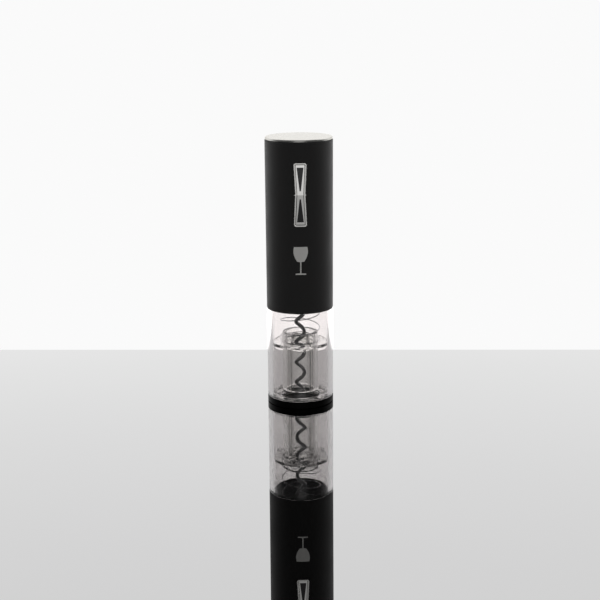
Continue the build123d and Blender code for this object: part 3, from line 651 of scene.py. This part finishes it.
bezel_low, bezel_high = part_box("switch_bezel")
switch_height = (bezel_low.z + bezel_high.z) / 2
switch_half_length = (bezel_high.z - bezel_low.z) / 2
switch_half_end = 0.00465
switch_half_waist = 0.0036
switch_play = 0.0002
switch_corner = 0.0018
tube_bore = 0.0222
tube_edge = 0.0003

soft_touch = moulded("soft_touch", (0.03, 0.0293, 0.0293), (0.034, 0.0332, 0.0332), 0.52, 0.6,
                     5000.0, 3e-6)
set_sockets(soft_touch, Specular_IOR_Level=0.12)
tube = bmesh.new()
lathe(tube, rounded([
    (tube_bore, tube_low.z, 0.0),
    (sleeve_high.x, tube_low.z, tube_edge),
    (tube_high.x, tube_high.z, tube_edge),
    (tube_bore, tube_high.z, 0.0),
]), 384)
opening = bmesh.new()
prism(opening, waisted(-switch_play, switch_corner), bezel_low.y - 2 * overcut,
      -tube_bore + 3 * overcut, facing)
piece_from(carved(tube, ("DIFFERENCE", opening)), "body_tube", soft_touch, "housing",
           "soft_black", "outer_tube")

# ---------------------------------------------------------------------------------------------
# Mark on the body: a wine glass in satin grey ink, a plain sign with no words.
ink = moulded("mark_ink", (0.8, 0.79, 0.76), (0.88, 0.87, 0.84), 0.3, 0.4)
mark_low = 0.0995
mark_top = 0.1195
mark_half = 0.0052
mark_root = 0.00004
mark_proud = 0.00003
foot_share = 0.05
stem_share = 0.46
foot_width = 0.72
stem_width = 0.085


def glass_half_width(share):
    """Half width of the wine glass at a share of its height: foot, stem, then a rounded bowl."""
    if share < foot_share:
        return mark_half * foot_width
    if share < stem_share:
        return mark_half * stem_width
    bowl = (share - stem_share) / (1.0 - stem_share)
    swell = math.sin(math.pi * min(1.0, 0.08 + bowl * 0.56)) ** 0.7
    closing = 1.0 - 0.1 * max(0.0, bowl - 0.6)
    return mark_half * (stem_width + (1.0 - stem_width) * swell * closing)


mark = bmesh.new()
columns = 14
rows = 72
grid = {}
for row in range(rows + 1):
    share = row / rows
    height = mark_low + (mark_top - mark_low) * share
    skin = sleeve_high.x + (tube_high.x - sleeve_high.x) * ((height - tube_low.z)
                                                           / (tube_high.z - tube_low.z))
    for column in range(columns + 1):
        angle = glass_half_width(share) * (2 * column / columns - 1) / skin
        for layer, depth in ((0, -mark_root), (1, mark_proud)):
            reach = skin + depth
            grid[row, column, layer] = mark.verts.new((reach * math.sin(angle),
                                                       -reach * math.cos(angle), height))
for row in range(rows):
    for column in range(columns):
        for layer in (0, 1):
            mark.faces.new([grid[row, column, layer], grid[row, column + 1, layer],
                            grid[row + 1, column + 1, layer], grid[row + 1, column, layer]])
    for column in (0, columns):
        mark.faces.new([grid[row, column, 0], grid[row + 1, column, 0],
                        grid[row + 1, column, 1], grid[row, column, 1]])
for row in (0, rows):
    for column in range(columns):
        mark.faces.new([grid[row, column, 0], grid[row, column + 1, 0],
                        grid[row, column + 1, 1], grid[row, column, 1]])
piece_from(mark, "glass_mark", ink, "housing", "soft_black")

# ---------------------------------------------------------------------------------------------
# Switch: a chrome frame and a chrome rocker that tilts on a pin, with a dark wedge let into each
# of its two pressing faces.
chrome = machined("bright_chrome", (0.78, 0.77, 0.75), (0.84, 0.83, 0.81), 0.04, 0.1,
                  (1.0, 1.0, 1.0), 300.0, 5e-7)
inlay_black = moulded("inlay_black", (0.003, 0.003, 0.003), (0.006, 0.006, 0.006), 0.08, 0.16)
wear(chrome, "bright_chrome", "switch_bezel", "rocker")
wear(inlay_black, "gloss_black", "rocker_inlay")

# ---------------------------------------------------------------------------------------------
# End cap: a satin aluminium plate, turned on its face, bonded to a black plug with a seal ring.
trim_low, trim_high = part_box("end_cap_trim")
cap_edge = 0.0007
cap_metal, cap_shader, cap_place = new_material("cap_metal")
turning = cap_metal.node_tree.nodes.new("ShaderNodeTexWave")
turning.wave_type = "RINGS"
turning.rings_direction = "Z"
turning.inputs["Scale"].default_value = 900.0
turning.inputs["Distortion"].default_value = 1.5
cap_metal.node_tree.links.new(cap_place.outputs["Object"], turning.inputs["Vector"])
lines = turning.outputs["Fac"]
cap_metal.node_tree.links.new(two_tone(cap_metal, lines, (0.35, 0.345, 0.33), (0.4, 0.395, 0.38)),
                              cap_shader.inputs["Base Color"])
cap_metal.node_tree.links.new(spread(cap_metal, lines, 0.18, 0.26), cap_shader.inputs["Roughness"])
set_sockets(cap_metal, Metallic=1.0, Specular_Tint=(0.6, 0.59, 0.57, 1.0))
bump(cap_metal, cap_shader, lines, 5e-7)

plate = bmesh.new()
lathe(plate, rounded([
    (0.0, trim_low.z, 0.0),
    (trim_high.x, trim_low.z, 0.0),
    (trim_high.x, trim_high.z, cap_edge),
    (0.0, trim_high.z, 0.0),
]))
piece_from(plate, "cap_plate", cap_metal, "cap", "brushed_cap", "end_cap_trim")
wear(foot_rubber, "foot_rubber", "cap_seal", "plunger_upper", "plunger_lower")

# ---------------------------------------------------------------------------------------------
# Frame: dark glass-filled plastic for the chassis halves, the cap's plug, the gearbox housing,
# the motor's end, the switches' cases, the spring's washer and the worm's chuck.
frame_plastic = moulded("frame_plastic", (0.012, 0.012, 0.013), (0.02, 0.02, 0.021), 0.45, 0.6,
                        1800.0, 8e-6)
wear(frame_plastic, "frame_black", "chassis_left", "chassis_right", "end_cap_plug",
     "gearbox_housing", "motor_endbell", "spring_seat", "tact_switches", "worm_chuck")

# Fasteners, pins and shafts: plain bright steel.
pin_steel = machined("pin_steel", (0.46, 0.46, 0.47), (0.6, 0.6, 0.61), 0.2, 0.36)
wear(pin_steel, "steel", "chassis_screws", "motor_plate", "motor_screws", "motor_shaft",
     "rocker_pin", "sleeve_screws", "thrust_washer")

# ---------------------------------------------------------------------------------------------
# Gearbox: white acetal planets, ring and first carrier, sintered steel planets and carrier in the
# slow stage, a bronze pinion and a bronze bush round the spindle.
acetal = moulded("acetal", (0.68, 0.67, 0.63), (0.76, 0.75, 0.71), 0.3, 0.45, 1500.0, 3e-6)
sintered = machined("sintered_steel", (0.22, 0.21, 0.2), (0.34, 0.33, 0.32), 0.4, 0.6,
                    (1.0, 1.0, 1.0), 2200.0, 6e-6)
bronze = machined("bronze", (0.52, 0.33, 0.13), (0.64, 0.43, 0.2), 0.25, 0.42)
wear(acetal, "gear_white", "first_carrier", "planet_1a", "planet_1b", "planet_1c", "ring_gear")
wear(sintered, "sintered_steel", "motor_armature", "output_carrier", "planet_2a", "planet_2b",
     "planet_2c")
wear(bronze, "bronze", "motor_pinion", "spindle_bush")

# ---------------------------------------------------------------------------------------------
# Motor: a zinc-plated can round two ferrite magnets, a laminated armature with copper windings,
# a copper commutator and its brushes.
zinc = machined("zinc_plate", (0.48, 0.49, 0.5), (0.63, 0.64, 0.66), 0.28, 0.45, (1.0, 1.0, 12.0))
ferrite = moulded("ferrite", (0.02, 0.02, 0.021), (0.035, 0.035, 0.036), 0.5, 0.7, 2600.0, 1e-5)
copper = machined("copper", (0.62, 0.26, 0.14), (0.78, 0.38, 0.22), 0.25, 0.42, (30.0, 1.0, 1.0))
wear(zinc, "zinc_steel", "motor_can")
wear(ferrite, "ferrite", "motor_magnets")
wear(copper, "copper", "motor_brushes", "motor_commutator", "motor_windings")

# ---------------------------------------------------------------------------------------------
# Cells and wiring: four cells in printed jackets, nickel strips, red leads and a green board.
jacket = moulded("cell_jacket", (0.015, 0.05, 0.035), (0.025, 0.075, 0.05), 0.2, 0.32, 400.0, 1e-6)
nickel = machined("nickel_strip", (0.6, 0.58, 0.53), (0.72, 0.7, 0.65), 0.2, 0.34)
lead_red = moulded("lead_red", (0.3, 0.012, 0.01), (0.42, 0.02, 0.016), 0.35, 0.5)
board_green = moulded("board_green", (0.01, 0.09, 0.035), (0.016, 0.13, 0.05), 0.25, 0.4)
wear(jacket, "cell_jacket", "battery_cells")
wear(nickel, "nickel_strip", "cap_contact", "cell_contacts")
wear(lead_red, "lead_red", "battery_leads", "motor_leads")
wear(board_green, "board_green", "switch_board")

# ---------------------------------------------------------------------------------------------
# Studio: a pale glossy table that ends a little behind the opener, a white surround that is
# bright behind it and dim in front with a soft glow there, and one wide soft light from above.
table_edge = 0.1315
table_turn = math.radians(-1.55)
table_reach = 3.0
table_gloss, table_shader, table_place = new_material("table_gloss")
cloud = noise(table_gloss, table_place, 3.0)
table_gloss.node_tree.links.new(
    two_tone(table_gloss, cloud, (0.205, 0.205, 0.205), (0.215, 0.215, 0.215)),
    table_shader.inputs["Base Color"])
set_sockets(table_gloss, Metallic=1.0, Roughness=0.0)
top = bmesh.new()
turned = Matrix.Rotation(camera_swing + table_turn, 3, "Z")
top.faces.new([top.verts.new(turned @ Vector(corner)) for corner in (
    (-table_reach, -table_reach, 0), (table_reach, -table_reach, 0),
    (table_reach, table_edge, 0), (-table_reach, table_edge, 0))])
table_mesh = bpy.data.meshes.new("table")
top.to_mesh(table_mesh)
top.free()
table_mesh.materials.append(table_gloss)
table = bpy.data.objects.new("table", table_mesh)
bpy.context.collection.objects.link(table)

backdrop_tone = 0.957
bright_back = 2.05
dim_front = 0.2
dim_until = -0.35
bright_from = 0.8
lift_from = 0.25
lift_until = 0.45
top_gain = 1.25
front_glow = 0.75
glow_direction = (0.0, -0.986, 0.165)
glow_start = 0.9
world = bpy.data.worlds.new("studio")
world.use_nodes = True
bpy.context.scene.world = world
sky = world.node_tree
background = sky.nodes["Background"]
direction = sky.nodes.new("ShaderNodeTexCoord")
split = sky.nodes.new("ShaderNodeSeparateXYZ")
sky.links.new(direction.outputs["Generated"], split.inputs["Vector"])
around = wire_up(sky, "ShaderNodeMapRange", split.outputs["Y"], dim_until, bright_from,
                 dim_front, bright_back, interpolation_type="SMOOTHSTEP")
lift = wire_up(sky, "ShaderNodeMapRange", split.outputs["Z"], lift_from, lift_until, 1.0,
               top_gain)
around = wire_up(sky, "ShaderNodeMath", around, lift, operation="MULTIPLY")
toward = wire_up(sky, "ShaderNodeVectorMath", direction.outputs["Generated"],
                 glow_direction, operation="DOT_PRODUCT")
toward = toward.node.outputs["Value"]
glow = wire_up(sky, "ShaderNodeMapRange", toward, glow_start, 1.0, 0.0, front_glow,
               interpolation_type="SMOOTHSTEP")
around = wire_up(sky, "ShaderNodeMath", around, glow, operation="ADD")
ray = sky.nodes.new("ShaderNodeLightPath")
seen = sky.nodes.new("ShaderNodeMix")
seen.data_type = "FLOAT"
sky.links.new(ray.outputs["Is Camera Ray"], seen.inputs["Factor"])
sky.links.new(around, seen.inputs["A"])
seen.inputs["B"].default_value = backdrop_tone
sky.links.new(seen.outputs["Result"], background.inputs["Strength"])
background.inputs["Color"].default_value = (1.0, 1.0, 1.0, 1.0)

softbox = bpy.data.lights.new("softbox", "AREA")
softbox.shape = "RECTANGLE"
softbox.size = 0.9
softbox.size_y = 0.5
softbox.energy = 1.5
overhead = bpy.data.objects.new("softbox", softbox)
bpy.context.collection.objects.link(overhead)
overhead.location = (0.5, 0.1, 0.9)
overhead.rotation_euler = (0.0, math.radians(28.0), 0.0)

bpy.context.scene.view_settings.view_transform = "Standard"
bpy.context.scene.view_settings.look = "None"
